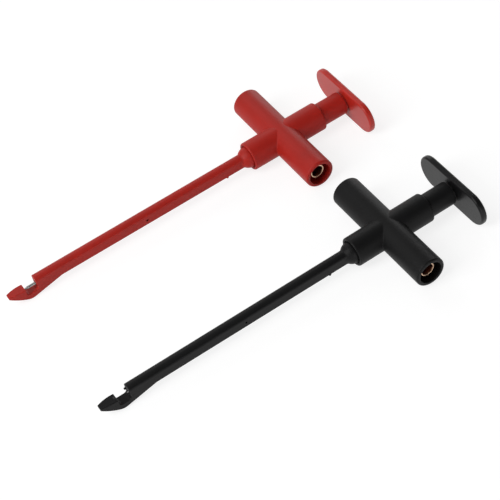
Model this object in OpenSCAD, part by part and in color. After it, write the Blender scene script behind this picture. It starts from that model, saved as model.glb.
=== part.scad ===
// A red and a black insulation-piercing hook probe, lying side by side.
// Each probe is drawn about its own cross centre: +X to the thumb plate, -X to
// the hook, arms along Y with the test-lead socket at -Y, hook mouth up (+Z).
// The pair stands on z = 0 with the origin under the middle of its outline.

/* [Pair layout] */
// Distance between the two probes' cross centres, across the shafts
pair_pitch = 65; // [58:0.5:90]
// How far the black probe lies behind the red one, along the shafts
pair_shift = 2.5; // [-10:0.5:10]

/* [Cross body] */
// Outside diameter of the two side arms
arm_d = 12; // [11.4:0.1:13]
// Length of the cross bar, from one arm end to the other
arm_span = 52; // [48:0.5:60]
// Radius that rounds the rims of both arms
arm_rim_r = 0.8; // [0.3:0.1:1.1]
// Outside diameter of the barrel that guides the plunger
barrel_d = 11.5; // [11.2:0.1:12]
// Barrel length ahead of the cross centre, towards the hook
barrel_front = 16; // [14:0.1:18]
// Barrel length behind the cross centre, towards the thumb plate
barrel_rear = 17.3; // [15:0.1:18]
// Radius that rounds the two barrel mouths on the outside
barrel_rim_r = 0.6; // [0.2:0.1:0.6]
// Depth of the chamfer inside the two barrel mouths
barrel_mouth_chamfer = 0.4; // [0.2:0.1:0.6]

/* [Test-lead socket] */
// Inside diameter of the shroud round the contact
shroud_d = 9; // [8.4:0.1:9.6]
// Depth of the shroud from the arm's end face
shroud_depth = 17.4; // [15:0.1:18]
// Bore of the contact, for a 4 mm plug
contact_bore_d = 4; // [3.9:0.05:4.1]
// Outside diameter of the contact tube
contact_d = 5.8; // [5:0.1:6]
// How far the contact stops short of the arm's end face
contact_recess = 2; // [0.5:0.1:4]
// Length of the 4 mm bore
contact_bore_len = 15; // [12:0.5:15]
// Diameter of the flange that seats on the shroud's floor
flange_d = 8.2; // [7:0.1:8.2]
// Thickness of that flange
flange_t = 1; // [0.6:0.1:1.4]

/* [Fixed conductor] */
// Diameter of the cross pin that joins the contact to the needle rod
pin_d = 3; // [2.5:0.1:3.2]
// Length of the pin inside the contact's tail
pin_seat_len = 3.2; // [2:0.1:3.6]
// Diameter of the insert that takes the pin's tail
insert_d = 5; // [4.4:0.1:5.6]
// Length of that insert
insert_len = 7; // [5:0.5:10]
// Distance from the cross centre to the insert's open face
insert_start = 6.2; // [5.6:0.1:8]
// Diameter of the needle rod
rod_d = 1.84; // [1.8:0.01:1.9]
// How far the rod's front end lies behind the throat's rear wall
rod_setback = 3.9; // [2:0.1:6]
// Diameter of the eye at the rod's rear end
eye_d = 5.2; // [4.8:0.1:5.4]
// Width of that eye
eye_w = 3; // [2:0.1:3.2]
// Diameter of the piercing needle
needle_d = 1.1; // [0.9:0.05:1.2]
// Length of the needle's conical point
needle_point = 1.8; // [1.2:0.1:3]
// Length of the needle inside the rod
needle_seat_len = 5; // [3:0.5:8]
// How far the needle and its rod lie below the shaft's axis
needle_drop = 0.6; // [0:0.05:0.7]
// How far the red probe's needle reaches past the throat's rear wall
red_needle_reach = 5.1; // [0.3:0.1:5.1]
// How far the black probe's needle reaches past the throat's rear wall
black_needle_reach = 0.5; // [0.3:0.1:5.1]

/* [Hook shaft] */
// Distance from the cross centre to the hook's tip
tip_reach = 122.6; // [110:0.2:135]
// Diameter of the shaft's rounded top and bottom
shaft_d = 5.6; // [5.4:0.02:5.9]
// Width of the shaft across its two flat sides
shaft_flat_w = 4; // [3.6:0.02:4.3]
// Length of the hook's nose, from throat to tip
nose_len = 6.9; // [5.5:0.1:8]
// Width of the throat that takes the wire, along the shaft
throat_w = 4.7; // [4.5:0.1:5.2]
// Depth of the throat's floor below the shaft's axis
throat_floor = 2.5; // [2.2:0.1:2.7]
// Radius that rounds the two corners of the throat's floor
throat_corner_r = 1.2; // [0.4:0.1:1.8]
// Height of the nose's top above the shaft's axis
nose_top = 0.5; // [0.3:0.1:0.9]
// Width of the blunt tip
tip_w = 2.3; // [1.4:0.1:3]
// Height of the blunt tip
tip_h = 1.05; // [0.8:0.05:1.4]
// Depth of the belly below the shaft's axis
belly_drop = 5.1; // [4.8:0.1:5.8]
// Radius of the belly's lowest bend
belly_r = 4; // [2.5:0.1:5]
// Distance from the throat's rear wall to the belly's lowest point
belly_offset = 3; // [2:0.1:3.6]
// Slope of the underside from the shaft down to the belly, degrees
belly_slope = 13.2; // [10:0.2:18]
// Slope of the underside from the belly up into the nose, degrees
nose_slope = 27; // [20:1:35]
// Rise of the nose's top between the throat and the tip
nose_crown = 0.35; // [0:0.05:0.6]
// Bore of the shaft, in which the needle rod runs
shaft_bore_d = 2; // [1.94:0.01:2]
// Depth of the recess in the nose that shelters the needle's point
nose_recess = 0.9; // [0.6:0.1:1.5]
// Distance from the cross centre to the small cross hole in the shaft
side_hole_x = 62.9; // [40:0.1:90]
// Diameter of that cross hole
side_hole_d = 1; // [0.6:0.1:1.2]

/* [Plunger] */
// Outside diameter of the plunger tube and of the collar in front of it
tube_d = 9.24; // [9.1:0.02:9.3]
// Bore of the plunger tube
tube_bore_d = 6.7; // [6.4:0.1:6.9]
// Distance from the cross centre to the joint of tube and collar
tube_front = 9; // [7:0.1:11]
// How far the plunger tube stands out of the barrel at rest
stem_out = 10.7; // [10.4:0.1:14]
// Travel of the plunger
stroke = 10.2; // [8:0.1:10.3]
// Diameter of the dome in front of the collar
dome_d = 8.5; // [7.8:0.1:8.8]
// How far the dome stands out of the barrel at rest
dome_out = 4.1; // [3.8:0.1:7]
// How far the full diameter of the collar stays back inside the barrel at rest
collar_setback = 0.7; // [0.5:0.1:1.5]
// Length of the collar's spigot inside the tube
spigot_len = 4; // [2.5:0.1:4.2]

/* [Thumb plate] */
// Width of the thumb plate, along the arms
plate_w = 37; // [30:0.2:42]
// Height of the thumb plate
plate_h = 13.8; // [12.6:0.1:15]
// Thickness of the thumb plate
plate_t = 2.5; // [2:0.1:3.5]
// Radius that rounds the thumb plate's edges
plate_edge_r = 0.8; // [0.3:0.1:0.9]
// Gap between the plunger tube's end and the thumb plate
neck_gap = 0.9; // [0.4:0.1:2]
// Length of the thumb plate's plug inside the tube
plug_len = 6; // [4:0.1:7]

/* [Return spring] */
// Wire diameter of the return spring
wire_d = 0.6; // [0.5:0.05:0.7]
// Number of turns in the return spring
spring_turns = 9; // [6:1:10]
// Thickness of the spring seat's rim
seat_t = 1; // [0.8:0.1:1.4]
// Length of the spring seat's centring boss
seat_boss_len = 1.2; // [0.8:0.1:2]

/* [Fits] */
// Radial clearance of sliding fits
run_clear = 0.08; // [0.05:0.01:0.1]
// Clearance on each side of the cross pin in the plunger tube's slots
slot_clear = 0.16; // [0.1:0.01:0.3]
// Radial clearance of pressed and screwed joints
seat_clear = 0.02; // [0.01:0.01:0.04]
// Clearance between parts that pass but never touch
free_clear = 0.3; // [0.2:0.05:0.4]
// Gap left between faces that stop on each other
stop_clear = 0.05; // [0.02:0.01:0.1]

/* [Hidden] */
$fn = 96;

red_plastic = [0.62, 0.12, 0.09];
black_plastic = [0.09, 0.09, 0.09];
gold_plate = [0.83, 0.68, 0.36];
brass = [0.72, 0.58, 0.30];
steel = [0.62, 0.63, 0.64];

over = 1;           // how far a cutter passes through a face
arc_steps = 12;     // straight pieces in each arc of the hook's outline
point_r = 0.04;     // radius left at the very tip of the needle
spring_steps = 10;  // rings of points in each turn of the spring
wire_sides = 6;     // sides of the spring's wire
insert_floor = 1;   // metal left in the insert past the pin's end
shoulder = 1;       // straight stretch of the nose before its sides draw in
taper_start = 0.45; // share of the nose at which its sides bend inward
knee_reach = 0.5;   // share of the nose that rises straight from the belly

// places along a probe's axis, from the cross centre
throat_front = tip_reach - nose_len;
throat_rear = throat_front - throat_w;
dome_centre = barrel_front + dome_out - dome_d / 2;
collar_front = barrel_front - collar_setback;
spigot_end = tube_front - spigot_len;
tube_rear = barrel_rear + stem_out;
plate_front = tube_rear + neck_gap;
plate_back = plate_front + plate_t;
plug_front = tube_rear - plug_len;
slot_w = pin_d + 2 * slot_clear;
slot_start = slot_w / 2 - pin_d / 2 - stop_clear;
slot_end = stroke - slot_start;
seat_front = eye_d / 2 + stop_clear;
spring_front = seat_front + seat_t + stop_clear;
spring_rear = plug_front - stop_clear;
rod_front = throat_rear - rod_setback;

// places along the arms, from the cross centre
arm_end = arm_span / 2;
shroud_floor = arm_end - shroud_depth;
contact_mouth = arm_end - contact_recess;
contact_bore_end = contact_mouth - contact_bore_len;
contact_tail = tube_d / 2 + free_clear;
pin_start = contact_tail + pin_seat_len;
pin_end = insert_start + insert_len - insert_floor;

// radii of the parts that fit inside one another
guide_r = tube_d / 2 + run_clear;
seat_r = tube_bore_d / 2 - run_clear;
spring_outer_r = tube_bore_d / 2 - free_clear;
spring_mid_r = spring_outer_r - wire_d / 2;

// the belly's lowest bend, and the thumb plate's lower front edge, which touches down too
belly_x = throat_rear + belly_offset;
belly_centre = [-belly_x, belly_r - belly_drop];
heel_x = plate_front + plate_edge_r;
pitch = asin((plate_h / 2 - belly_drop) / (belly_x + heel_x));

// outline of the pair, and the places of the two cross centres
reach_front = tip_reach * cos(pitch);
reach_rear = plate_back * cos(pitch) + (plate_h / 2 - plate_edge_r) * sin(pitch);
red_x = (reach_front - reach_rear - max(pair_shift, 0) - min(pair_shift, 0)) / 2;
heel_z = plate_edge_r + (plate_h / 2 - plate_edge_r) * cos(pitch) - heel_x * sin(pitch);
rest_z = max(heel_z, arm_d / 2);
red_place = [red_x, pair_pitch / 2, rest_z];
black_place = [red_x + pair_shift, -pair_pitch / 2, rest_z];

// the swelling under the hook starts at this depth, inside the shaft
swell_top = shaft_flat_w / 4;

function arc(centre, r, from, to) =
    [for (i = [0 : arc_steps]) let (a = from + (to - from) * i / arc_steps)
        centre + r * [cos(a), sin(a)]];

function bend(a, b, c) =
    [for (i = [1 : arc_steps]) let (t = i / arc_steps)
        (1 - t) * (1 - t) * a + 2 * t * (1 - t) * b + t * t * c];

// points of one round section of the spring's wire
spring_len = spring_rear - spring_front - wire_d;
spring_rings = spring_turns * spring_steps;
function wire_ring(i) =
    let (a = 360 * i / spring_steps, x = spring_len * i / spring_rings)
        [for (k = [0 : wire_sides - 1]) let (b = 360 * k / wire_sides,
            r = spring_mid_r + wire_d / 2 * cos(b))
            [x + wire_d / 2 * sin(b), r * cos(a), r * sin(a)]];
spring_gap = min([for (i = [spring_steps : spring_rings])
    norm(wire_ring(i)[0] - wire_ring(i - spring_steps)[0]) - wire_d]);
echo(least_gap_between_spring_turns = spring_gap);

module laid(place) {
    translate(place) rotate([0, -pitch, 0]) children();
}

// a round bar along X from x1 to x2
module bar_x(r, x1, x2) {
    translate([x1, 0, 0]) rotate([0, 90, 0]) cylinder(r = r, h = x2 - x1);
}

// a round bar along Y from y1 to y2
module bar_y(r, y1, y2) {
    translate([0, y1, 0]) rotate([-90, 0, 0]) cylinder(r = r, h = y2 - y1);
}

// half outline of a bar of radius r with both rims rounded by c
module rimmed_half(r, z1, z2, c) {
    translate([0, z1]) square([r - c, z2 - z1]);
    translate([0, z1 + c]) square([r, z2 - z1 - 2 * c]);
    translate([r - c, z1 + c]) circle(c);
    translate([r - c, z2 - c]) circle(c);
}

module rimmed_bar(r, z1, z2, c) {
    rotate_extrude() rimmed_half(r, z1, z2, c);
}

module mouth_chamfer(r, depth) {
    cylinder(r1 = r, r2 = r + depth + over, h = depth + over);
}

module cross_body() {
    difference() {
        union() {
            rotate([-90, 0, 0]) rimmed_bar(arm_d / 2, -arm_end, arm_end, arm_rim_r);
            rotate([0, 90, 0])
                rimmed_bar(barrel_d / 2, -barrel_front, barrel_rear, barrel_rim_r);
        }
        bar_x(guide_r, -barrel_front - over, barrel_rear + over);
        translate([-barrel_front + barrel_mouth_chamfer, 0, 0]) rotate([0, -90, 0])
            mouth_chamfer(guide_r, barrel_mouth_chamfer);
        translate([barrel_rear - barrel_mouth_chamfer, 0, 0]) rotate([0, 90, 0])
            mouth_chamfer(guide_r, barrel_mouth_chamfer);
        bar_y(shroud_d / 2, -arm_end - over, -shroud_floor);
        bar_y(contact_d / 2 + seat_clear, -shroud_floor - over, 0);
        bar_y(pin_d / 2 + free_clear, 0, insert_start + over);
        bar_y(insert_d / 2 + seat_clear, insert_start, insert_start + insert_len);
    }
}

module socket_contact() {
    difference() {
        union() {
            bar_y(contact_d / 2, -contact_mouth, -contact_tail);
            bar_y(flange_d / 2, -shroud_floor - flange_t, -shroud_floor);
        }
        bar_y(contact_bore_d / 2, -contact_mouth - over, -contact_bore_end);
        bar_y(pin_d / 2 + seat_clear, -contact_bore_end - over, -contact_tail + over);
    }
}

module cross_pin() {
    bar_y(pin_d / 2, -pin_start, pin_end);
}

module tail_insert() {
    difference() {
        bar_y(insert_d / 2, insert_start, insert_start + insert_len);
        bar_y(pin_d / 2 + seat_clear, insert_start - over, pin_end + stop_clear);
    }
}

module needle_rod() {
    difference() {
        union() {
            translate([0, 0, -needle_drop]) bar_x(rod_d / 2, -rod_front, 0);
            bar_y(eye_d / 2, -eye_w / 2, eye_w / 2);
        }
        bar_y(pin_d / 2 + seat_clear, -eye_w, eye_w);
        translate([0, 0, -needle_drop]) bar_x(needle_d / 2 + seat_clear,
            -rod_front - over, -rod_front + needle_seat_len);
    }
}

module needle(reach) {
    tip = throat_rear + reach;
    translate([0, 0, -needle_drop]) {
        bar_x(needle_d / 2, -tip + needle_point, -rod_front + needle_seat_len - stop_clear);
        translate([-tip, 0, 0]) rotate([0, 90, 0])
            cylinder(r1 = point_r, r2 = needle_d / 2, h = needle_point);
    }
}

module spring_seat() {
    bar_x(seat_r, seat_front, seat_front + seat_t);
    bar_x(spring_mid_r - wire_d / 2 - run_clear, seat_front,
        seat_front + seat_t + seat_boss_len);
}

module return_spring() {
    points = [for (i = [0 : spring_rings]) each wire_ring(i)];
    last = spring_rings * wire_sides;
    sides = [for (i = [0 : spring_rings - 1], k = [0 : wire_sides - 1])
        let (a = i * wire_sides, n = (k + 1) % wire_sides)
            each [[a + k, a + n, a + wire_sides + n],
                [a + k, a + wire_sides + n, a + wire_sides + k]]];
    caps = [for (k = [1 : wire_sides - 2])
        each [[0, k + 1, k], [last, last + k, last + k + 1]]];
    translate([spring_front + wire_d / 2, 0, 0])
        polyhedron(points = points, faces = concat(sides, caps));
}

// side outline of the nose, the throat's floor and the swelling below it
module hook_outline() {
    throat_top = [-throat_front, nose_top];
    crest = [-throat_front - nose_len / 2, nose_top + nose_crown];
    tip = [-tip_reach, nose_top];
    tip_under = [-tip_reach, nose_top - tip_h];
    belly = arc(belly_centre, belly_r, -90 - nose_slope, -90 + belly_slope);
    knee = belly[0] + knee_reach * nose_len * [-cos(nose_slope), sin(nose_slope)];
    belly_end = belly[arc_steps];
    swell_end = belly_end[0] - (belly_end[1] + swell_top) / tan(belly_slope);
    corner_z = throat_corner_r - throat_floor;
    polygon(concat(
        [throat_top],
        bend(throat_top, crest, tip),
        [tip_under],
        bend(tip_under, knee, belly[0]),
        [for (i = [1 : arc_steps]) belly[i]],
        [[swell_end, -swell_top], [-throat_rear, -swell_top]],
        arc([-throat_rear - throat_corner_r, corner_z], throat_corner_r, 0, -90),
        arc([-throat_front + throat_corner_r, corner_z], throat_corner_r, -90, -180)
    ));
}

// plan outline of the hook: straight sides that draw in to the blunt tip
module hook_plan() {
    half = shaft_flat_w / 2;
    start = -throat_front - shoulder;
    right = concat([[0, half], [start, half]],
        bend([start, half], [start - nose_len * taper_start, half],
            [-tip_reach, tip_w / 2]));
    polygon(concat(right, [for (i = [len(right) - 1 : -1 : 0]) [right[i][0], -right[i][1]]]));
}

module hook_shaft() {
    difference() {
        union() {
            intersection() {
                bar_x(shaft_d / 2, -throat_rear, -barrel_front);
                translate([-throat_rear - over, -shaft_flat_w / 2, -shaft_d])
                    cube([throat_rear + over, shaft_flat_w, 2 * shaft_d]);
            }
            intersection() {
                translate([0, shaft_flat_w / 2, 0]) rotate([90, 0, 0])
                    linear_extrude(shaft_flat_w) hook_outline();
                translate([0, 0, -2 * belly_drop]) linear_extrude(4 * belly_drop) hook_plan();
            }
            bar_x(tube_bore_d / 2 - seat_clear, -tube_front - over, -spigot_end);
            bar_x(tube_d / 2, -collar_front, -tube_front - stop_clear);
            bar_x(dome_d / 2, -dome_centre, -tube_front - over);
            translate([-dome_centre, 0, 0]) sphere(d = dome_d);
        }
        translate([0, 0, -needle_drop]) {
            bar_x(shaft_bore_d / 2, -throat_rear - over, over);
            bar_x(needle_d / 2 + free_clear, -throat_front - nose_recess, -throat_rear);
        }
        translate([-side_hole_x, 0, 0]) bar_y(side_hole_d / 2, -shaft_d, shaft_d);
    }
}

module plunger_tube() {
    difference() {
        bar_x(tube_d / 2, -tube_front, tube_rear);
        bar_x(tube_bore_d / 2, -tube_front - over, tube_rear + over);
        for (x = [slot_start, slot_end])
            translate([x, 0, 0]) bar_y(slot_w / 2, -tube_d, tube_d);
        translate([slot_start, -tube_d, -slot_w / 2])
            cube([slot_end - slot_start, 2 * tube_d, slot_w]);
    }
}

module thumb_plate() {
    half_flat = plate_w / 2 - plate_h / 2;
    translate([plate_front, 0, 0]) rotate([0, 90, 0]) {
        for (y = [-half_flat, half_flat])
            translate([0, y, 0]) rimmed_bar(plate_h / 2, 0, plate_t, plate_edge_r);
        rotate([90, 0, 0]) linear_extrude(2 * half_flat, center = true) {
            rimmed_half(plate_h / 2, 0, plate_t, plate_edge_r);
            mirror([1, 0]) rimmed_half(plate_h / 2, 0, plate_t, plate_edge_r);
        }
    }
    bar_x(tube_bore_d / 2 - seat_clear, plug_front, plate_front + plate_t / 2);
}

module red_cross_body() { laid(red_place) color(red_plastic) cross_body(); }
module red_socket_contact() { laid(red_place) color(gold_plate) socket_contact(); }
module red_cross_pin() { laid(red_place) color(brass) cross_pin(); }
module red_tail_insert() { laid(red_place) color(brass) tail_insert(); }
module red_needle_rod() { laid(red_place) color(brass) needle_rod(); }
module red_needle() { laid(red_place) color(steel) needle(red_needle_reach); }
module red_spring_seat() { laid(red_place) color(brass) spring_seat(); }
module red_return_spring() { laid(red_place) color(steel) return_spring(); }
module red_hook_shaft() { laid(red_place) color(red_plastic) hook_shaft(); }
module red_plunger_tube() { laid(red_place) color(red_plastic) plunger_tube(); }
module red_thumb_plate() { laid(red_place) color(red_plastic) thumb_plate(); }

module black_cross_body() { laid(black_place) color(black_plastic) cross_body(); }
module black_socket_contact() { laid(black_place) color(gold_plate) socket_contact(); }
module black_cross_pin() { laid(black_place) color(brass) cross_pin(); }
module black_tail_insert() { laid(black_place) color(brass) tail_insert(); }
module black_needle_rod() { laid(black_place) color(brass) needle_rod(); }
module black_needle() { laid(black_place) color(steel) needle(black_needle_reach); }
module black_spring_seat() { laid(black_place) color(brass) spring_seat(); }
module black_return_spring() { laid(black_place) color(steel) return_spring(); }
module black_hook_shaft() { laid(black_place) color(black_plastic) hook_shaft(); }
module black_plunger_tube() { laid(black_place) color(black_plastic) plunger_tube(); }
module black_thumb_plate() { laid(black_place) color(black_plastic) thumb_plate(); }

red_cross_body();
red_socket_contact();
red_cross_pin();
red_tail_insert();
red_needle_rod();
red_needle();
red_spring_seat();
red_return_spring();
red_hook_shaft();
red_plunger_tube();
red_thumb_plate();
black_cross_body();
black_socket_contact();
black_cross_pin();
black_tail_insert();
black_needle_rod();
black_needle();
black_spring_seat();
black_return_spring();
black_hook_shaft();
black_plunger_tube();
black_thumb_plate();
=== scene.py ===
"""A red and a black insulation-piercing hook probe, lying side by side on a pale table."""
import bpy
import math
import numpy as np
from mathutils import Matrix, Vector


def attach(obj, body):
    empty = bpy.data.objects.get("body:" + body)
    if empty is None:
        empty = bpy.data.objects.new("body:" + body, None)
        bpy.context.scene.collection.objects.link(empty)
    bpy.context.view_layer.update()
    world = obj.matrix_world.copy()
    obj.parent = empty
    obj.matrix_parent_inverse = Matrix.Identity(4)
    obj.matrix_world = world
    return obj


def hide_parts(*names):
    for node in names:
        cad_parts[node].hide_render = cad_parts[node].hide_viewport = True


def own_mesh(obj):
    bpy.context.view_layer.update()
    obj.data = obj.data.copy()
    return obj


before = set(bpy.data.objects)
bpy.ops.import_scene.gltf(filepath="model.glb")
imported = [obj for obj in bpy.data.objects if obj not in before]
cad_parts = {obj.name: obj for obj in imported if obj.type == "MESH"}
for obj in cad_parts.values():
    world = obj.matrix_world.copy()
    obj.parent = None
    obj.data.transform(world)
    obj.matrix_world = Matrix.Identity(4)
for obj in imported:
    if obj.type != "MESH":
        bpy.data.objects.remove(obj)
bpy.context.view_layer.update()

# ---------------------------------------------------------------------------
# The pair. Two like probes, one moulded in red and one in black nylon, lie side by side.
# Each is drawn in millimetres about its own cross centre: +x to the thumb plate, -x to
# the hook, the socket at -y, the hook's mouth up. It rests on the plate and the hook's belly.
MILLIMETRE = 0.001
CROSS_CENTRE = {"red": (44.3082, 32.5, 6.5275), "black": (46.8082, -32.5, 6.5275)}
PLATE_BELOW_BELLY, BELLY_TO_PLATE = 1.8, 143.7
NOSE_DOWN = math.asin(PLATE_BELOW_BELLY / BELLY_TO_PLATE)
TURN = np.array([
    [math.cos(NOSE_DOWN), 0, -math.sin(NOSE_DOWN)],
    [0, 1, 0],
    [math.sin(NOSE_DOWN), 0, math.cos(NOSE_DOWN)],
])


def laid(points, colour):
    """Points of one probe in millimetres, put where that probe lies, in metres."""
    return (np.asarray(points, float) @ TURN.T + CROSS_CENTRE[colour]) * MILLIMETRE


# ---------------------------------------------------------------------------
# The moulded cross of each probe: two side arms and the barrel that guides the plunger,
# moulded in one round the socket's seat. The near arm is the shroud of the test-lead
# socket and the far arm is closed. The crotches are filleted, less towards the top.
ARM_R, ARM_END, ARM_RIM = 6.0, 26.0, 0.8
BARREL_R, BARREL_FRONT, BARREL_REAR, BARREL_RIM = 5.75, -16.0, 17.3, 0.6
GUIDE_R, MOUTH_CHAMFER, MOUTH_LIP = 4.7, 0.4, 0.12
SHROUD_R, SHROUD_FLOOR, SHROUD_LIP, SHROUD_CORNER = 4.5, -8.6, 0.3, 0.1
CONTACT_SEAT_R, PIN_PASSAGE_R = 2.92, 1.8
POCKET_R, POCKET_START, POCKET_END = 2.52, 6.2, 13.2
CROTCH_FILLET, LEAST_FILLET, CROTCH_FADE, CROTCH_TOP = 0.15, 0.02, 0.1, 5.7
OVERLAP = 1.0  # how far a bore runs on into the space that it opens to

# a grid has (start, end, spacing) stretches along x, y and z, closer where a form is small
CROSS_GRID = (((-16.7, 18.0, 0.3),), ((-26.4, 26.4, 0.3),), ((-6.45, 6.45, 0.3),))


def rounded_and(a, b, r):
    """What two fields share, with the edge between them rounded by r."""
    return (np.minimum(np.maximum(a, b), -r)
            + np.hypot(np.maximum(a + r, 0), np.maximum(b + r, 0)))


def rounded_or(a, b, r):
    """Two fields joined, with the corner between them filled by radius r."""
    return -rounded_and(-a, -b, r)


def past_ends(at, start, end):
    """How far a place is past the ends of a stretch, negative between them."""
    return np.abs(at - (start + end) / 2) - (end - start) / 2


def cross_shape(x, y, z):
    """The cross as a field: about how far a place is from its surface, negative inside."""
    round_arm, round_barrel = np.hypot(x, z), np.hypot(y, z)
    past_mouth = past_ends(x, BARREL_FRONT, BARREL_REAR)
    arms = rounded_and(round_arm - ARM_R, np.abs(y) - ARM_END, ARM_RIM)
    barrel = rounded_and(round_barrel - BARREL_R, past_mouth, BARREL_RIM)
    fillet = np.clip((CROTCH_TOP - np.abs(z)) * CROTCH_FADE, LEAST_FILLET, CROTCH_FILLET)
    body = rounded_or(arms, barrel, fillet)
    mouth = (round_barrel - GUIDE_R - MOUTH_CHAMFER - past_mouth) * math.sqrt(0.5)
    body = rounded_and(body, -np.minimum(round_barrel - GUIDE_R, mouth), MOUTH_LIP)
    shroud = rounded_and(round_arm - SHROUD_R, y - SHROUD_FLOOR, SHROUD_CORNER)
    body = rounded_and(body, -shroud, SHROUD_LIP)
    seat = np.maximum(round_arm - CONTACT_SEAT_R, y)
    passage = np.maximum(round_arm - PIN_PASSAGE_R, past_ends(y, 0, POCKET_START) - OVERLAP)
    pocket = np.maximum(round_arm - POCKET_R, past_ends(y, POCKET_START, POCKET_END))
    return np.maximum(body, -np.minimum(seat, np.minimum(passage, pocket)))


def steps(stretches):
    """Grid lines along one axis, from stretches that join up."""
    lines = [np.linspace(a, b, max(2, round((b - a) / gap) + 1))[:-1] for a, b, gap in stretches]
    return np.concatenate(lines + [[stretches[-1][1]]])


def slope(shape, points, reach=0.02):
    """Direction in which a shape's field grows at each point."""
    return np.column_stack([(shape(*(points + step).T) - shape(*(points - step).T)) / (2 * reach)
                            for step in reach * np.eye(3)])


SURFACE_PULLS, LONGEST_PULL, LEAST_SLOPE = 5, 0.2, 0.3
RUB_DEPTH = 0.35


def skin(shape, grid):
    """Closed quads on the surface of a shape: points, quads, outward directions, and how sharp each
    convex edge is, for edge wear and a painted edge highlight.
    """
    lines = [steps(stretches) for stretches in grid]
    depth = shape(*np.meshgrid(*lines, indexing="ij", sparse=True))
    cells = [n - 1 for n in depth.shape]
    total, count, quads = np.zeros((3, np.prod(cells))), np.zeros(np.prod(cells)), []
    # each grid edge that crosses the surface gives a quad between the four cells round it
    for axis in range(3):
        ahead = np.eye(3, dtype=int)[axis]
        low, high = (np.take(depth, range(k, depth.shape[axis] - 1 + k), axis) for k in (0, 1))
        at = np.argwhere((low < 0) != (high < 0))
        low, high = low[tuple(at.T)], high[tuple(at.T)]
        place = np.column_stack([lines[i][at[:, i]] for i in range(3)])
        place[:, axis] += (lines[axis][at[:, axis] + 1] - place[:, axis]) * low / (low - high)
        side, up = np.roll(ahead, 1), np.roll(ahead, 2)
        ring = np.column_stack([np.ravel_multi_index((at - a * side - b * up).T, cells)
                                for a, b in ((0, 0), (1, 0), (1, 1), (0, 1))])
        for corner in ring.T:
            count += np.bincount(corner, minlength=len(count))
            for i in range(3):
                total[i] += np.bincount(corner, place[:, i], len(count))
        quads.append(np.where((low < 0)[:, None], ring, ring[:, ::-1]))
    # each cell's point starts in the middle of its crossings and is pulled onto the surface
    used, quads = np.unique(np.vstack(quads), return_inverse=True)
    points = (total[:, used] / count[used]).T
    for _ in range(SURFACE_PULLS):
        grow = slope(shape, points)
        pull = shape(*points.T) / np.maximum((grow ** 2).sum(1), LEAST_SLOPE)
        points = points - np.clip(pull, -LONGEST_PULL, LONGEST_PULL)[:, None] * grow
    out = slope(shape, points)
    out /= np.maximum(np.linalg.norm(out, axis=1), 1e-6)[:, None]
    edge = np.clip(1 + shape(*(points - RUB_DEPTH * out).T) / RUB_DEPTH, 0, 1)
    return points, quads.reshape(-1, 4), out, edge


def moulding(name, surface, colour, finish):
    """One moulded piece of a probe, from its skin."""
    points, quads, out, edge = surface
    mesh = bpy.data.meshes.new(name)
    mesh.from_pydata(laid(points, colour).tolist(), [], quads.tolist())
    mesh.shade_smooth()
    mesh.normals_split_custom_set_from_vertices((out @ TURN.T).tolist())
    mesh.attributes.new("edge", "FLOAT", "POINT").data.foreach_set("value", edge.astype(np.float32))
    mesh.materials.append(finish)
    piece = bpy.data.objects.new(name, mesh)
    bpy.context.scene.collection.objects.link(piece)
    return piece


def put(tree, kind, inputs=(), **settings):
    """Adds a node to a tree, then sets or links its inputs by name or number."""
    node = tree.nodes.new(kind)
    for setting, value in settings.items():
        setattr(node, setting, value)
    for socket, value in dict(inputs).items():
        if isinstance(value, bpy.types.NodeSocket):
            tree.links.new(value, node.inputs[socket])
        else:
            node.inputs[socket].default_value = value
    return node


def effect(name, inputs, outputs, kind="ShaderNodeTree"):
    """An empty node group with named inputs and outputs, and its two end nodes."""
    tree = bpy.data.node_groups.new(name, kind)
    for side, sockets in (("INPUT", inputs), ("OUTPUT", outputs)):
        for socket, form in sockets.items():
            tree.interface.new_socket(socket, in_out=side, socket_type="NodeSocket" + form)
    return tree, tree.nodes.new("NodeGroupInput").outputs, tree.nodes.new("NodeGroupOutput").inputs


def calc(tree, operation, *values):
    """A Math node of a tree, as the socket with its result."""
    return put(tree, "ShaderNodeMath", dict(enumerate(values)), operation=operation).outputs[0]


def ramp(tree, value, start, end, low=0.0, high=1.0):
    """A number that goes from low to high while another goes from start to end."""
    return put(tree, "ShaderNodeMapRange", {
        "Value": value, "From Min": start, "From Max": end, "To Min": low, "To Max": high,
    }).outputs[0]


def blend(tree, share, under, over):
    """Two colours mixed, by the share of the one that lies over the other."""
    mix = put(tree, "ShaderNodeMix", {"Factor": share, "A": under, "B": over}, data_type="RGBA")
    return mix.outputs["Result"]


def millimetres(tree):
    """The place on the piece, in millimetres."""
    place = put(tree, "ShaderNodeTexCoord").outputs["Object"]
    return put(tree, "ShaderNodeVectorMath", {
        0: place, "Scale": 1 / MILLIMETRE}, operation="SCALE").outputs[0]


def noise(tree, size, detail, place=None):
    """Soft noise whose blots are about size millimetres across."""
    return put(tree, "ShaderNodeTexNoise", {
        "Vector": place or millimetres(tree),
        "Scale": calc(tree, "DIVIDE", 1.0, size),
        "Detail": detail,
    }).outputs[0]


# the fine pebbled grain that a spark-eroded mould leaves on nylon
PEEL_TO_GRAIN, SPECKLE_RANGE = 7.0, (0.42, 0.72)
spark_grain, given, result = effect(
    "Spark-eroded grain",
    {"Grain": "Float", "Orange peel": "Float"},
    {"Height": "Float", "Speckle": "Float"})
fine = noise(spark_grain, given["Grain"], 3.0)
coarse = noise(spark_grain, calc(spark_grain, "MULTIPLY", given["Grain"], PEEL_TO_GRAIN), 1.0)
peel = calc(spark_grain, "MULTIPLY", coarse, given["Orange peel"])
spark_grain.links.new(calc(spark_grain, "ADD", fine, peel), result["Height"])
spark_grain.links.new(ramp(spark_grain, fine, *SPECKLE_RANGE), result["Speckle"])

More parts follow.
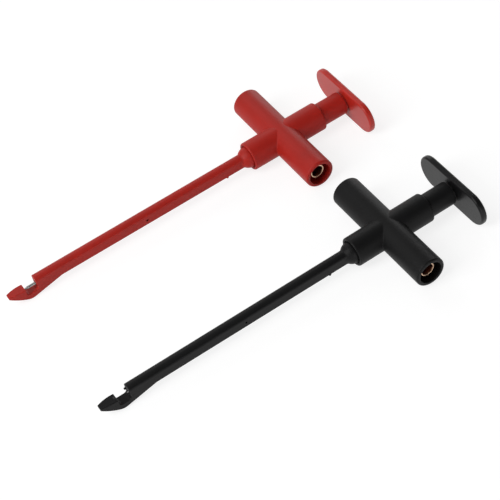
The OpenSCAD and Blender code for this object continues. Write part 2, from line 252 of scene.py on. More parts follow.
# the slow drift of colour through a moulding, with flow clouds and pale specks
SPECK_TO_DRIFT = 0.35
flow_colour, given, result = effect(
    "Flow colour",
    {"Colour": "Color", "Cloud": "Float", "Drift": "Float", "Speckle": "Float"},
    {"Colour": "Color", "Cloud": "Float"})
cloud = noise(flow_colour, given["Cloud"], 4.0)
shift = calc(flow_colour, "MULTIPLY", calc(flow_colour, "SUBTRACT", cloud, 0.5), given["Drift"])
pale = calc(flow_colour, "MULTIPLY", given["Drift"], SPECK_TO_DRIFT)
speck = calc(flow_colour, "MULTIPLY", given["Speckle"], pale)
strength = calc(flow_colour, "ADD", calc(flow_colour, "ADD", shift, 1.0), speck)
drifted = put(flow_colour, "ShaderNodeVectorMath", {
    0: given["Colour"], "Scale": strength}, operation="SCALE")
flow_colour.links.new(drifted.outputs[0], result["Colour"])
flow_colour.links.new(cloud, result["Cloud"])

# rubbed edges, also lightened as a painted edge highlight: strongest on sharp corners, broken up by
# patches
PATCH_RANGE, CORNER_RANGE = (0.38, 0.66), (0.12, 0.6)
edge_wear_and_highlight, given, result = effect(
    "Edge wear and painted highlight",
    {"Edge": "Float", "Patch": "Float", "Amount": "Float"},
    {"Mask": "Float"})
patch = ramp(edge_wear_and_highlight, noise(edge_wear_and_highlight, given["Patch"], 5.0), *PATCH_RANGE)
rubbed = ramp(edge_wear_and_highlight, given["Edge"], *CORNER_RANGE)
worn = calc(edge_wear_and_highlight, "MULTIPLY", calc(edge_wear_and_highlight, "MULTIPLY", rubbed, patch), given["Amount"])
edge_wear_and_highlight.links.new(worn, result["Mask"])


def blank_finish(name):
    """A new material: the material itself, its node tree and its surface's inputs."""
    finish = bpy.data.materials.new(name)
    finish.use_nodes = True
    return finish, finish.node_tree, finish.node_tree.nodes["Principled BSDF"].inputs


def emboss(tree, surface, height, strength, depth):
    """Presses a pattern of heights into a surface, depth metres deep."""
    bump = put(tree, "ShaderNodeBump", {"Height": height, "Strength": strength, "Distance": depth})
    tree.links.new(bump.outputs["Normal"], surface["Normal"])


GRAIN_SIZE, ORANGE_PEEL, GRAIN_STRENGTH, GRAIN_DEPTH = 0.16, 0.6, 0.35, 0.00003
CLOUD_SIZE, COLOUR_DRIFT, RUB_PATCH, WEAR_AND_HIGHLIGHT_AMOUNT = 9.0, 0.35, 2.5, 0.75
CLOUD_MATT, SPECKLE_MATT, RUB_POLISH, NYLON_IOR = 0.16, 0.06, 0.12, 1.5


def moulded_nylon(name, colour, edge_worn_and_highlit_colour, gloss, rough):
    """Satin glass-filled nylon, dyed all through, a little polished where hands rub it, and lighter on
    sharp edges, partly for wear and partly as a painted edge highlight.
    """
    finish, tree, surface = blank_finish(name)
    edge = put(tree, "ShaderNodeAttribute", attribute_name="edge").outputs["Fac"]
    grain = put(tree, "ShaderNodeGroup", {
        "Grain": GRAIN_SIZE, "Orange peel": ORANGE_PEEL}, node_tree=spark_grain).outputs
    dyed = put(tree, "ShaderNodeGroup", {
        "Colour": colour, "Cloud": CLOUD_SIZE, "Drift": COLOUR_DRIFT, "Speckle": grain["Speckle"],
    }, node_tree=flow_colour).outputs
    wear = put(tree, "ShaderNodeGroup", {
        "Edge": edge, "Patch": RUB_PATCH, "Amount": WEAR_AND_HIGHLIGHT_AMOUNT}, node_tree=edge_wear_and_highlight).outputs["Mask"]
    # sharp edges are painted lighter: partly rubbing wear, partly a painted edge highlight
    tree.links.new(blend(tree, wear, dyed["Colour"], edge_worn_and_highlit_colour), surface["Base Color"])
    satin = calc(tree, "MULTIPLY_ADD", dyed["Cloud"], CLOUD_MATT, rough)
    satin = calc(tree, "MULTIPLY_ADD", grain["Speckle"], SPECKLE_MATT, satin)
    satin = calc(tree, "MULTIPLY_ADD", wear, -RUB_POLISH, satin)
    tree.links.new(satin, surface["Roughness"])
    emboss(tree, surface, grain["Height"], GRAIN_STRENGTH, GRAIN_DEPTH)
    surface["IOR"].default_value = NYLON_IOR
    surface["Specular IOR Level"].default_value = gloss
    return finish


DYE = {"red": (0.39, 0.0115, 0.0055, 1), "black": (0.0045, 0.0045, 0.0047, 1)}
# the edges' lighter colour stands for rubbing wear and for a painted edge highlight
WORN_AND_HIGHLIT_EDGE_COLOUR = {"red": (0.55, 0.06, 0.042, 1), "black": (0.045, 0.045, 0.047, 1)}
GLOSS, SATIN = {"red": 0.3, "black": 0.19}, 0.42
NYLON = {
    colour: moulded_nylon(f"{colour.title()} nylon", DYE[colour], WORN_AND_HIGHLIT_EDGE_COLOUR[colour], GLOSS[colour], SATIN)
    for colour in DYE
}

cross_skin = skin(cross_shape, CROSS_GRID)
for colour in CROSS_CENTRE:
    cross = moulding(f"{colour}_moulded_cross", cross_skin, colour, NYLON[colour])
    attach(cross, "grips")
    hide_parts(f"{colour}_cross_body")

# ---------------------------------------------------------------------------
# The hook and its shaft: one long moulding with flat sides and a round top and bottom,
# hollow for the needle's rod. It ends in a blunt hook over a swollen belly and starts in
# a domed collar whose spigot is pressed into the plunger tube. A gate stub is left below.
TIP, NOSE_REAR, THROAT_REAR = -122.6, -115.7, -111.0
SHAFT_R, SHAFT_HALF_WIDTH, SHAFT_EDGE, SHAFT_END_EDGE = 2.8, 2.0, 0.25, 0.15
NOSE_TOP, NOSE_CROWN, TIP_HEIGHT, TIP_HALF_WIDTH = 0.5, 0.35, 1.05, 1.15
TAPER_LEAD, TAPER_BEND, TOP_VIEW_REAR = 1.0, 3.105, -60.0
THROAT_FLOOR, THROAT_CORNER = -2.5, 1.2
BELLY_X, BELLY_BOTTOM, BELLY_R, BELLY_SLOPE, NOSE_SLOPE = -114.0, -5.1, 4.0, 13.2, 27.0
SWELLING_TOP, HOOK_EDGE, HOOK_BLEND = -1.0, 0.3, 0.05
BORE_Z, BORE_R, POINT_RECESS_R, POINT_RECESS_END, HOLE_EDGE = -0.6, 1.0, 0.85, -116.6, 0.08
DOME_R, DOME_X, DOME_END, DOME_BLEND = 4.25, -15.85, -10.05, 0.35
COLLAR_R, COLLAR_FRONT, COLLAR_REAR, COLLAR_EDGE = 4.62, -15.3, -9.05, 0.1
SPIGOT_R, SPIGOT_END, SPIGOT_EDGE = 3.33, -5.0, 0.2
SIDE_HOLE_X, SIDE_HOLE_R = -62.9, 0.5
GATE_STUB, GATE_STUB_R = (-27.0, -1.75, -2.05), 0.5
FLASH_TOOTH, FLASH_TOOTH_R, FLASH_TOOTH_BLEND = (-111.3, 1.45, 0.0), 0.45, 0.1
HOOK_GRID = (
    ((-123.0, -104.0, 0.17), (-104.0, -64.5, 0.6), (-64.5, -61.5, 0.17), (-61.5, -28.5, 0.6),
     (-28.5, -25.5, 0.17), (-25.5, -22.0, 0.4), (-22.0, -4.6, 0.25)),
    ((-5.0, 5.0, 0.17),),
    ((-5.6, 5.0, 0.17),),
)


def arc(centre, r, start, end, count=16):
    """Points of an arc, between two angles in degrees."""
    angle = np.radians(np.linspace(start, end, count))
    return np.column_stack((centre[0] + r * np.cos(angle), centre[1] + r * np.sin(angle)))


def bow(a, b, c, count=16):
    """Points of a curve from a to c that leans towards b."""
    t = np.linspace(0, 1, count)[:, None]
    return (1 - t) ** 2 * np.array(a) + 2 * t * (1 - t) * np.array(b) + t ** 2 * np.array(c)


def outline(u, v, corners):
    """Distance to a closed flat outline, negative inside it."""
    away, inside = 1e9, False
    for (au, av), (bu, bv) in zip(corners, np.roll(corners, -1, 0)):
        eu, ev = bu - au, bv - av
        t = np.clip(((u - au) * eu + (v - av) * ev) / (eu * eu + ev * ev + 1e-12), 0, 1)
        away = np.minimum(away, np.hypot(u - au - t * eu, v - av - t * ev))
        inside = inside ^ (((av > v) != (bv > v)) & (u < au + (v - av) * eu / (ev or 1)))
    return np.where(inside, -away, away)


def ball(x, y, z, centre, r):
    """Distance to a ball, negative inside it."""
    return np.sqrt(sum((p - c) ** 2 for p, c in zip((x, y, z), centre))) - r


def bar(x, round_axis, start, end, r, edge):
    """A round bar along x, from start to end, with both rims rounded."""
    return rounded_and(round_axis - r, np.maximum(start - x, x - end), edge)


def hook_side_view():
    """Outline of the hook in x and z: nose, belly, swelling of the shaft and throat."""
    belly = arc((BELLY_X, BELLY_BOTTOM + BELLY_R), BELLY_R, -90 - NOSE_SLOPE, -90 + BELLY_SLOPE)
    rise = math.radians(NOSE_SLOPE)
    knee = belly[0] + (NOSE_REAR - TIP) / 2 * np.array((-math.cos(rise), math.sin(rise)))
    swelling_end = belly[-1][0] + (SWELLING_TOP - belly[-1][1]) / math.tan(math.radians(BELLY_SLOPE))
    corner_z = THROAT_FLOOR + THROAT_CORNER
    return np.vstack((
        bow((NOSE_REAR, NOSE_TOP), ((NOSE_REAR + TIP) / 2, NOSE_TOP + NOSE_CROWN), (TIP, NOSE_TOP)),
        bow((TIP, NOSE_TOP - TIP_HEIGHT), knee, belly[0]),
        belly[1:],
        ((swelling_end, SWELLING_TOP), (THROAT_REAR, SWELLING_TOP)),
        arc((THROAT_REAR - THROAT_CORNER, corner_z), THROAT_CORNER, 0, -90),
        arc((NOSE_REAR + THROAT_CORNER, corner_z), THROAT_CORNER, -90, -180),
    ))


def hook_top_view():
    """Outline of the hook in x and y, which narrows to the tip."""
    start = NOSE_REAR - TAPER_LEAD
    bend = start - TAPER_BEND
    taper = bow((start, SHAFT_HALF_WIDTH), (bend, SHAFT_HALF_WIDTH), (TIP, TIP_HALF_WIDTH))
    side = np.vstack((((TOP_VIEW_REAR, SHAFT_HALF_WIDTH),), taper))
    return np.vstack((side, side[::-1] * (1, -1)))


def hook_shaft_shape(x, y, z, side_view=hook_side_view(), top_view=hook_top_view()):
    """Hook, shaft, dome, collar and spigot, less the bore, the needle's recess and a hole."""
    round_axis, round_bore = np.hypot(y, z), np.hypot(y, z - BORE_Z)
    shaft = rounded_and(round_axis - SHAFT_R, np.abs(y) - SHAFT_HALF_WIDTH, SHAFT_EDGE)
    shaft = rounded_and(shaft, np.maximum(THROAT_REAR - x, x - DOME_X), SHAFT_END_EDGE)
    hook = rounded_and(outline(x, z, side_view), outline(x, y, top_view), HOOK_EDGE)
    body = rounded_or(shaft, hook, HOOK_BLEND)
    body = np.minimum(body, ball(x, y, z, GATE_STUB, GATE_STUB_R))
    dome = np.where(x < DOME_X, np.hypot(x - DOME_X, round_axis), round_axis) - DOME_R
    dome = np.maximum(dome, x - DOME_END)
    collar = bar(x, round_axis, COLLAR_FRONT, COLLAR_REAR, COLLAR_R, COLLAR_EDGE)
    spigot = bar(x, round_axis, COLLAR_FRONT, SPIGOT_END, SPIGOT_R, SPIGOT_EDGE)
    body = np.minimum(rounded_or(body, dome, DOME_BLEND), np.minimum(collar, spigot))
    bore = np.maximum(round_bore - BORE_R, THROAT_REAR - OVERLAP - x)
    recess = np.maximum(round_bore - POINT_RECESS_R, np.maximum(POINT_RECESS_END - x, x - THROAT_REAR))
    body = rounded_and(body, -np.minimum(bore, recess), HOLE_EDGE)
    side_hole = np.hypot(x - SIDE_HOLE_X, z) - SIDE_HOLE_R
    return rounded_and(body, -side_hole, HOLE_EDGE)


def black_hook_shaft_shape(x, y, z):
    """The black moulding also has a tooth of flash at the edge of its throat."""
    tooth = ball(x, y, z, FLASH_TOOTH, FLASH_TOOTH_R)
    return rounded_or(hook_shaft_shape(x, y, z), tooth, FLASH_TOOTH_BLEND)


for colour, shape in (("red", hook_shaft_shape), ("black", black_hook_shaft_shape)):
    hook = moulding(f"{colour}_hook_and_shaft", skin(shape, HOOK_GRID), colour, NYLON[colour])
    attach(hook, f"{colour}_plunger")
    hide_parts(f"{colour}_hook_shaft")

# ---------------------------------------------------------------------------
# The plunger tube: a moulded tube that runs in the barrel. Two slots in its sides ride on
# the cross pin and stop the plunger at both ends of its travel.
TUBE_R, TUBE_BORE_R, TUBE_FRONT, TUBE_REAR = 4.62, 3.35, -9.0, 28.0
SLOT_HALF_WIDTH, SLOT_START, SLOT_END = 1.66, 0.11, 10.09
TUBE_RIM, TUBE_LIP = 0.25, 0.12
TUBE_GRID = (((-9.4, 28.8, 0.3),), ((-5.0, 5.0, 0.25),), ((-5.0, 5.0, 0.25),))


def tube_shape(x, y, z):
    """The tube's wall, less the slot that runs across through both sides."""
    round_axis = np.hypot(y, z)
    wall = rounded_and(round_axis - TUBE_R, past_ends(x, TUBE_FRONT, TUBE_REAR), TUBE_RIM)
    wall = rounded_and(wall, TUBE_BORE_R - round_axis, TUBE_LIP)
    past_slot = np.maximum(past_ends(x, SLOT_START, SLOT_END), 0)
    slot = np.hypot(past_slot, z) - SLOT_HALF_WIDTH
    return rounded_and(wall, -slot, TUBE_LIP)


tube_skin = skin(tube_shape, TUBE_GRID)
for colour in CROSS_CENTRE:
    tube = moulding(f"{colour}_sliding_tube", tube_skin, colour, NYLON[colour])
    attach(tube, f"{colour}_plunger")
    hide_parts(f"{colour}_plunger_tube")

# ---------------------------------------------------------------------------
# The thumb plate: a moulded plate with round ends and well rounded edges, worn smoother than the rest,
# and painted a lighter colour than the rest as a painted sheen. Its plug is pressed into the tube and
# leaves a narrow neck between them.
PLATE_FRONT, PLATE_BACK, PLATE_EDGE = 28.9, 31.4, 0.8
PLATE_HALF_HEIGHT, PLATE_HALF_WIDTH = 6.9, 18.5
PLUG_R, PLUG_FRONT, PLUG_ROOT, PLUG_EDGE, PLUG_BLEND = 3.33, 22.0, 30.1, 0.3, 0.25
PLATE_GRID = (((21.6, 28.6, 0.3), (28.6, 31.8, 0.16)), ((-18.9, 18.9, 0.24),), ((-7.3, 7.3, 0.24),))
# the plate's colour is painted lighter than the other nylon: painted light, for the sheen on its face
PLATE_DYE_PAINTED_LIGHTER = {"red": (0.48, 0.02, 0.0115, 1), "black": (0.0055, 0.0055, 0.0057, 1)}
THUMBED_GLOSS, THUMBED_SATIN = {"red": 0.46, "black": 0.26}, 0.28
THUMBED_NYLON_PAINTED_LIGHTER = {
    colour: moulded_nylon(f"{colour.title()} nylon, thumbed, painted lighter", PLATE_DYE_PAINTED_LIGHTER[colour], WORN_AND_HIGHLIT_EDGE_COLOUR[colour],
                          THUMBED_GLOSS[colour], THUMBED_SATIN)
    for colour in PLATE_DYE_PAINTED_LIGHTER
}


def plate_shape(x, y, z):
    """The plate with its round ends, and the plug in front of it."""
    beside = np.maximum(np.abs(y) - (PLATE_HALF_WIDTH - PLATE_HALF_HEIGHT), 0)
    rim = np.hypot(beside, z) - PLATE_HALF_HEIGHT
    plate = rounded_and(rim, past_ends(x, PLATE_FRONT, PLATE_BACK), PLATE_EDGE)
    plug = bar(x, np.hypot(y, z), PLUG_FRONT, PLUG_ROOT, PLUG_R, PLUG_EDGE)
    return rounded_or(plate, plug, PLUG_BLEND)


plate_skin = skin(plate_shape, PLATE_GRID)
for colour in CROSS_CENTRE:
    plate = moulding(f"{colour}_thumb_rest", plate_skin, colour, THUMBED_NYLON_PAINTED_LIGHTER[colour])
    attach(plate, f"{colour}_plunger")
    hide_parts(f"{colour}_thumb_plate")

# ---------------------------------------------------------------------------
# The socket contact: a tube turned from brass bar and thinly gold plated, with a 4 mm
# bore for the test lead's plug, a flange that seats on the shroud's floor and a tail
# that is pressed onto the cross pin.
CONTACT_HALF_PROFILE = (
    (-23.1, 2.0), (-23.94, 2.38), (-24.0, 2.46), (-24.0, 2.78), (-23.88, 2.9), (-9.75, 2.9),
    (-9.6, 3.05), (-9.6, 3.95), (-9.45, 4.1), (-8.75, 4.1), (-8.6, 3.95), (-8.6, 3.0), (-8.5, 2.9),
    (-5.1, 2.9), (-4.92, 2.7), (-4.92, 1.52), (-9.0, 1.52), (-9.0, 2.0), (-23.1, 2.0),
)
CONTACT_SIDES, SAME_POINT, SHARP_DEGREES = 96, 0.001, 32
ALONG_X, ALONG_Y = (1, 0, 0), (0, 1, 0)
X_TO_Y = ((0, 0, 1), (1, 0, 0), (0, 1, 0))

# a lathe: the profile's points are (along the axis, radius, 0), in millimetres
lathe, given, result = effect(
    "Turned on a lathe",
    {"Profile": "Geometry", "Sides": "Int", "Finish": "Material"},
    {"Geometry": "Geometry"},
    "GeometryNodeTree")
rows = put(lathe, "GeometryNodeAttributeDomainSize", {0: given["Profile"]}).outputs["Point Count"]
columns = calc(lathe, "ADD", given["Sides"], 1.0)
blank = put(lathe, "GeometryNodeMeshGrid", {"Vertices X": rows, "Vertices Y": columns})
number = put(lathe, "GeometryNodeInputIndex").outputs[0]
row = calc(lathe, "FLOOR", calc(lathe, "DIVIDE", calc(lathe, "ADD", number, 0.5), columns))
column = calc(lathe, "SUBTRACT", number, calc(lathe, "MULTIPLY", row, columns))
angle = calc(lathe, "DIVIDE", calc(lathe, "MULTIPLY", column, math.tau), given["Sides"])
profile_point = put(lathe, "GeometryNodeSampleIndex", {
    "Geometry": given["Profile"],
    "Value": put(lathe, "GeometryNodeInputPosition").outputs[0],
    "Index": row,
}, data_type="FLOAT_VECTOR")
along, radius, _ = put(lathe, "ShaderNodeSeparateXYZ", {0: profile_point.outputs[0]}).outputs
turned_point = put(lathe, "ShaderNodeCombineXYZ", {
    0: along,
    1: calc(lathe, "MULTIPLY", radius, calc(lathe, "COSINE", angle)),
    2: calc(lathe, "MULTIPLY", radius, calc(lathe, "SINE", angle)),
})
shaped = put(lathe, "GeometryNodeSetPosition", {
    "Geometry": blank.outputs[0], "Position": turned_point.outputs[0]})
marked = put(lathe, "GeometryNodeStoreNamedAttribute", {
    "Geometry": shaped.outputs[0], "Name": "radius", "Value": radius,
}, data_type="FLOAT", domain="POINT")
closed = put(lathe, "GeometryNodeMergeByDistance", {
    "Geometry": marked.outputs[0], "Distance": SAME_POINT})
whole = put(lathe, "GeometryNodeRealizeInstances", {0: closed.outputs[0]})
finished = put(lathe, "GeometryNodeSetMaterial", {
    "Geometry": whole.outputs[0], "Material": given["Finish"]})
lathe.links.new(finished.outputs[0], result["Geometry"])


def grown(name, tree, start, settings, colour, turn_to=np.eye(3), offset=(0, 0, 0)):
    """Runs a geometry tree on the start points, and keeps the result as a plain mesh."""
    seed = bpy.data.meshes.new(name)
    seed.from_pydata(start, [], [])
    piece = bpy.data.objects.new(name, seed)
    bpy.context.scene.collection.objects.link(piece)
    modifier = piece.modifiers.new("growth", "NODES")
    modifier.node_group = tree
    for item in tree.interface.items_tree:
        if item.in_out == "INPUT" and item.name in settings:
            modifier[item.identifier] = settings[item.name]
    ready = piece.evaluated_get(bpy.context.evaluated_depsgraph_get())
    mesh = bpy.data.meshes.new_from_object(ready)
    piece.modifiers.clear()
    points = np.zeros(len(mesh.vertices) * 3)
    mesh.vertices.foreach_get("co", points)
    points = points.reshape(-1, 3) @ np.asarray(turn_to, float).T + offset
    mesh.vertices.foreach_set("co", laid(points, colour).ravel())
    mesh.name = name
    mesh.shade_smooth()
    mesh.set_sharp_from_angle(angle=math.radians(SHARP_DEGREES))
    piece.data = mesh
    return piece


# the fine rings that a turning tool leaves round a part
BLOT_SIZE = 0.9
turning_marks, given, result = effect(
    "Turning marks",
    {"Axis": "Vector", "Pitch": "Float"},
    {"Height": "Float", "Streak": "Float"})
place = millimetres(turning_marks)
down_axis = put(turning_marks, "ShaderNodeVectorMath", {
    0: place, 1: given["Axis"]}, operation="DOT_PRODUCT")
rings = put(turning_marks, "ShaderNodeTexNoise", {
    "W": calc(turning_marks, "DIVIDE", down_axis.outputs["Value"], given["Pitch"]),
    "Scale": 1.0,
    "Detail": 3.0,
}, noise_dimensions="1D").outputs[0]
blots = noise(turning_marks, BLOT_SIZE, 4.0, place)
turning_marks.links.new(rings, result["Height"])
turning_marks.links.new(calc(turning_marks, "MULTIPLY", rings, blots), result["Streak"])

TARNISH_RANGE, TARNISH_MATT, TOOL_STRENGTH, TOOL_DEPTH = (0.15, 0.42), 0.14, 0.3, 0.00002


def turned_metal(name, bright, dull, axis, pitch, rough, bore=None):
    """Metal off the lathe: tool rings, duller blots of tarnish, and painted shade down its bore if it
    has one.
    """
    finish, tree, surface = blank_finish(name)
    marks = put(tree, "ShaderNodeGroup", {
        "Axis": axis, "Pitch": pitch}, node_tree=turning_marks).outputs
    clean = ramp(tree, marks["Streak"], *TARNISH_RANGE)
    seen = blend(tree, clean, dull, bright)
    if bore:
        # inside the bore the colour is painted dark brown: painted shade where little light reaches
        shade_to, unshaded_from, bore_shade_colour = bore
        from_axis = put(tree, "ShaderNodeAttribute", attribute_name="radius").outputs["Fac"]
        seen = blend(tree, ramp(tree, from_axis, shade_to, unshaded_from), bore_shade_colour, seen)
    tree.links.new(seen, surface["Base Color"])
    satin = calc(tree, "MULTIPLY_ADD", clean, -TARNISH_MATT, rough + TARNISH_MATT)
    tree.links.new(satin, surface["Roughness"])
    emboss(tree, surface, marks["Height"], TOOL_STRENGTH, TOOL_DEPTH)
    surface["Metallic"].default_value = 1.0
    return finish


# the bore and countersink inside the contact's rim are painted dark: painted shade in the hole
BORE_PAINTED_SHADE = (2.28, 2.44, (0.17, 0.07, 0.04, 1))
GOLD_PLATE = turned_metal(
    "Gold plate", bright=(0.86, 0.62, 0.44, 1), dull=(0.72, 0.49, 0.33, 1), axis=ALONG_Y, pitch=0.12,
    rough=0.26, bore=BORE_PAINTED_SHADE)
for colour in CROSS_CENTRE:
    contact = grown(
        f"{colour}_plug_contact", lathe, [(along, r, 0) for along, r in CONTACT_HALF_PROFILE],
        {"Sides": CONTACT_SIDES, "Finish": GOLD_PLATE}, colour, turn_to=X_TO_Y)
    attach(contact, "grips")
    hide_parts(f"{colour}_socket_contact")

# ---------------------------------------------------------------------------
# The piercing needle: ground steel wire in the end of the rod, fixed to the grip. The red
# probe is drawn back so far that its needle crosses the throat, and the black one's
# point only looks out of the shaft.
NEEDLE_R, NEEDLE_REAR, NEEDLE_CHAMFER, NEEDLE_SIDES = 0.55, -102.15, 0.1, 32
POINT_LENGTH, POINT_TIP_R, POINT_BULGE, POINT_RINGS = 1.8, 0.04, 0.85, 6
NEEDLE_REACH = {"red": 5.1, "black": 0.5}
GROUND_STEEL = turned_metal(
    "Ground steel", bright=(0.44, 0.43, 0.42, 1), dull=(0.22, 0.21, 0.21, 1), axis=ALONG_X, pitch=0.08,
    rough=0.25)
for colour, reach in NEEDLE_REACH.items():
    tip = THROAT_REAR - reach
    profile = [(tip, 0), (tip, POINT_TIP_R)]
    for ring in range(1, POINT_RINGS + 1):
        swell = (ring / POINT_RINGS) ** POINT_BULGE
        profile.append((tip + POINT_LENGTH * ring / POINT_RINGS,
                        POINT_TIP_R + (NEEDLE_R - POINT_TIP_R) * swell))
    profile += [(NEEDLE_REAR - NEEDLE_CHAMFER, NEEDLE_R), (NEEDLE_REAR, NEEDLE_R - NEEDLE_CHAMFER),
                (NEEDLE_REAR, 0)]
    needle = grown(
        f"{colour}_piercing_needle", lathe, [(along, r, 0) for along, r in profile],
        {"Sides": NEEDLE_SIDES, "Finish": GROUND_STEEL}, colour, offset=(0, 0, BORE_Z))
    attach(needle, "grips")
    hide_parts(f"{colour}_needle")

# ---------------------------------------------------------------------------
# The return spring: drawn steel wire coiled inside the plunger tube, between the seat on
# the rod's eye and the plate's plug. Its end turns are closed, and it shortens to less
# than half its length when the plunger is pushed home.
SPRING_START, SPRING_END, SPRING_MID_R, WIRE_R, SPRING_TURNS = 3.72, 21.93, 2.75, 0.3, 9
POINTS_PER_TURN, WIRE_SIDES = 40, 12
CLOSED_PITCH = 2.04  # wire radii from one closed turn to the next

# a coil along x: closed end turns, and an even pitch between them
coil, given, result = effect(
    "Wound spring",
    {"Seed": "Geometry", "Turns": "Int", "Mid radius": "Float", "Wire radius": "Float",
     "Length": "Float", "Finish": "Material"},
    {"Geometry": "Geometry"},
    "GeometryNodeTree")
count = calc(coil, "ADD", calc(coil, "MULTIPLY", given["Turns"], POINTS_PER_TURN), 1.0)
line = put(coil, "GeometryNodeMeshLine", {"Count": count})
wire_line = put(coil, "GeometryNodeMeshToCurve", {0: line.outputs[0]})
turn = calc(coil, "DIVIDE", put(coil, "GeometryNodeInputIndex").outputs[0], POINTS_PER_TURN)
angle = calc(coil, "MULTIPLY", turn, math.tau)
closed_turn = calc(coil, "MULTIPLY", given["Wire radius"], CLOSED_PITCH)
closed_length = calc(coil, "MULTIPLY", given["Wire radius"], 2 * CLOSED_PITCH + 2)
open_length = calc(coil, "SUBTRACT", given["Length"], closed_length)
open_pitch = calc(coil, "DIVIDE", open_length, calc(coil, "SUBTRACT", given["Turns"], 2.0))
first = calc(coil, "MINIMUM", turn, 1.0)
last_start = calc(coil, "SUBTRACT", given["Turns"], 1.0)
last = calc(coil, "MAXIMUM", calc(coil, "SUBTRACT", turn, last_start), 0.0)
middle = calc(coil, "SUBTRACT", calc(coil, "SUBTRACT", turn, first), last)
rise = calc(coil, "MULTIPLY_ADD", calc(coil, "ADD", first, last), closed_turn,
            calc(coil, "MULTIPLY_ADD", middle, open_pitch, given["Wire radius"]))
helix_point = put(coil, "ShaderNodeCombineXYZ", {
    0: rise,
    1: calc(coil, "MULTIPLY", given["Mid radius"], calc(coil, "COSINE", angle)),
    2: calc(coil, "MULTIPLY", given["Mid radius"], calc(coil, "SINE", angle)),
})
helix = put(coil, "GeometryNodeSetPosition", {
    "Geometry": wire_line.outputs[0], "Position": helix_point.outputs[0]})
section = put(coil, "GeometryNodeCurvePrimitiveCircle", {
    "Resolution": WIRE_SIDES, "Radius": given["Wire radius"]})
wire = put(coil, "GeometryNodeCurveToMesh", {
    "Curve": helix.outputs[0], "Profile Curve": section.outputs[0], "Fill Caps": True})
whole = put(coil, "GeometryNodeRealizeInstances", {0: wire.outputs[0]})
finished = put(coil, "GeometryNodeSetMaterial", {
    "Geometry": whole.outputs[0], "Material": given["Finish"]})
coil.links.new(finished.outputs[0], result["Geometry"])

SPRING_STEEL = turned_metal(
    "Spring steel", bright=(0.50, 0.50, 0.51, 1), dull=(0.25, 0.25, 0.26, 1), axis=ALONG_X, pitch=0.2,
    rough=0.3)
for colour in CROSS_CENTRE:
    spring = grown(
        f"{colour}_coil_spring", coil, [(0, 0, 0)],
        {"Turns": SPRING_TURNS, "Mid radius": SPRING_MID_R, "Wire radius": WIRE_R,
         "Length": SPRING_END - SPRING_START, "Finish": SPRING_STEEL},
        colour, offset=(SPRING_START, 0, 0))
    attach(spring, "grips")
    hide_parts(f"{colour}_return_spring")
    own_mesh(spring)

# ---------------------------------------------------------------------------
# The brass inside the grip: the cross pin that joins the contact to the rod, the insert
# moulded into the closed arm that holds the pin's tail, the rod with its eye, and the
# spring seat. All are turned from free-cutting brass bar and left bare.
BRASS_ACROSS, BRASS_ALONG = (
    turned_metal(name, bright=(0.62, 0.44, 0.17, 1), dull=(0.36, 0.23, 0.08, 1), axis=axis, pitch=0.15,
                 rough=0.3)
    for name, axis in (("Brass, turned across", ALONG_Y), ("Brass, turned along", ALONG_X)))
for colour in CROSS_CENTRE:
    for node, brass in (("cross_pin", BRASS_ACROSS), ("tail_insert", BRASS_ACROSS),
                        ("needle_rod", BRASS_ALONG), ("spring_seat", BRASS_ALONG)):
        for material_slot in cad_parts[f"{colour}_{node}"].material_slots:
            material_slot.material = brass

# ---------------------------------------------------------------------------
# The table: a plain white sheet. Where the camera or a gloss sees it, it glows to a clean
# white and keeps a faint soft shadow, and everything else gets its light from the plain
# white sheet alone.
TABLE_HALF, TABLE_DROP = 3.0, 0.00002
TABLE_WHITE, TABLE_GREY, TABLE_GLOW = 0.9, 0.28, 0.81
table_mesh = bpy.data.meshes.new("table")
table_mesh.from_pydata(
    [(x * TABLE_HALF, y * TABLE_HALF, -TABLE_DROP) for x, y in ((-1, -1), (1, -1), (1, 1), (-1, 1))],
    [], [(0, 1, 2, 3)])
table = bpy.data.objects.new("table", table_mesh)
bpy.context.scene.collection.objects.link(table)
paper = bpy.data.materials.new("White sheet")
paper.use_nodes = True
tree = paper.node_tree
tree.nodes.clear()
rays = put(tree, "ShaderNodeLightPath").outputs
seen = calc(tree, "MAXIMUM", calc(tree, "MAXIMUM", rays["Is Camera Ray"], rays["Is Glossy Ray"]),
            rays["Is Transmission Ray"])
plain = put(tree, "ShaderNodeBsdfDiffuse", {"Color": (TABLE_WHITE, TABLE_WHITE, TABLE_WHITE, 1)})
dimmed = put(tree, "ShaderNodeBsdfDiffuse", {"Color": (TABLE_GREY, TABLE_GREY, TABLE_GREY, 1)})
glow = put(tree, "ShaderNodeEmission", {"Color": (1, 1, 1, 1), "Strength": TABLE_GLOW})
white = put(tree, "ShaderNodeAddShader", {0: dimmed.outputs[0], 1: glow.outputs[0]})
sheet = put(tree, "ShaderNodeMixShader", {0: seen, 1: plain.outputs[0], 2: white.outputs[0]})
put(tree, "ShaderNodeOutputMaterial", {"Surface": sheet.outputs[0]})
table_mesh.materials.append(paper)

# ---------------------------------------------------------------------------
# The room. It is white to the camera, but it lights the pair like a studio: pale low walls
# all round, and a dim ceiling that is darker in front. The soft lamps stand on the hooks'
# side, with two weaker ones behind and one low in front.
WALL_LIGHT, WALL_FADE = 0.5, (0.2, 0.4)
FRONT_LIGHT, REAR_LIGHT, CEILING_FADE = 0.08, 0.2, (-0.3, 0.3)
world = bpy.data.worlds.new("White surround")
bpy.context.scene.world = world
world.use_nodes = True
tree = world.node_tree
tree.nodes.clear()
rays = put(tree, "ShaderNodeLightPath").outputs
seen = calc(tree, "MAXIMUM", rays["Is Camera Ray"], rays["Is Transmission Ray"])
direction = put(tree, "ShaderNodeTexCoord").outputs["Generated"]
toward = put(tree, "ShaderNodeSeparateXYZ", {0: direction}).outputs
low_wall = ramp(tree, toward["Z"], *WALL_FADE, WALL_LIGHT, 0.0)
ceiling = ramp(tree, toward["Y"], *CEILING_FADE, FRONT_LIGHT, REAR_LIGHT)
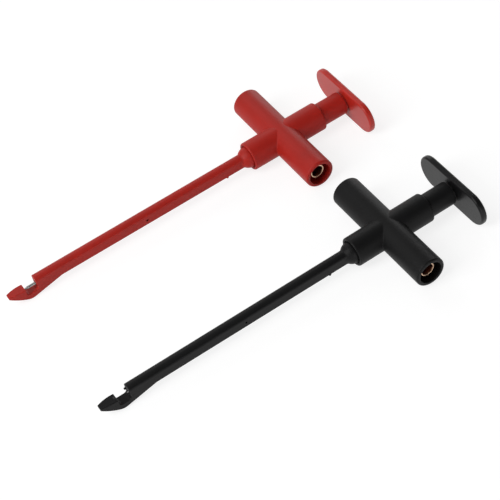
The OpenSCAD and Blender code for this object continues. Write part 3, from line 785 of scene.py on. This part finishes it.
brightness = calc(tree, "MAXIMUM", seen, calc(tree, "MAXIMUM", low_wall, ceiling))
surround = put(tree, "ShaderNodeBackground", {"Color": (1, 1, 1, 1), "Strength": brightness})
put(tree, "ShaderNodeOutputWorld", {"Surface": surround.outputs[0]})

# each lamp: its direction from the pair, and its watts
LAMP_DISTANCE, LAMP_SIZE = 1.0, 0.5
LAMPS = {
    "Main soft lamp": ((-0.82, 0, 0.57), 4.2),
    "High soft lamp": ((-0.5, 0, 0.87), 2.6),
    "Rear soft lamp": ((0, 0.82, 0.57), 1.6),
    "Rear low lamp": ((0.68, 0.68, 0.26), 2.2),
    "Front low lamp": ((0, -0.97, 0.26), 1.9),
}
for name, (toward, watts) in LAMPS.items():
    light = bpy.data.lights.new(name, "AREA")
    light.size, light.energy = LAMP_SIZE, watts
    holder = bpy.data.objects.new(name, light)
    bpy.context.scene.collection.objects.link(holder)
    away = np.array(toward) / np.linalg.norm(toward)
    holder.location = away * LAMP_DISTANCE
    holder.rotation_mode = "QUATERNION"
    holder.rotation_quaternion = Vector(away).to_track_quat("Z", "Y")

# ---------------------------------------------------------------------------
# The camera looks down on the pair from in front of the socket ends, turned a little
# about its own axis. It is fitted to the two crosses' centres and the shafts' ends.
CAMERA_PLACE = (-0.148211, -0.351566, 0.431543)
CAMERA_TURNS = (-23.7417, 48.5269, -12.4548)
LENS_MM, SENSOR_MM = 112.0715, 36.0
azimuth, elevation, roll = (math.radians(turn_degrees) for turn_degrees in CAMERA_TURNS)
camera = bpy.data.cameras.new("camera")
camera.lens, camera.sensor_width = LENS_MM, SENSOR_MM
camera.clip_start, camera.clip_end = 0.01, 20.0
camera_holder = bpy.data.objects.new("camera", camera)
bpy.context.scene.collection.objects.link(camera_holder)
bpy.context.scene.camera = camera_holder
level = np.array((math.cos(azimuth), math.sin(azimuth), 0))
back = np.array((math.sin(azimuth) * math.cos(elevation),
                 -math.cos(azimuth) * math.cos(elevation), math.sin(elevation)))
upright = np.cross(back, level)
right = math.cos(roll) * level + math.sin(roll) * upright
up = np.cross(back, right)
camera_holder.rotation_mode = "QUATERNION"
camera_holder.rotation_quaternion = Matrix(
    np.column_stack((right, up, back)).tolist()).to_quaternion()
camera_holder.location = CAMERA_PLACE
bpy.context.scene.view_settings.view_transform = "Standard"
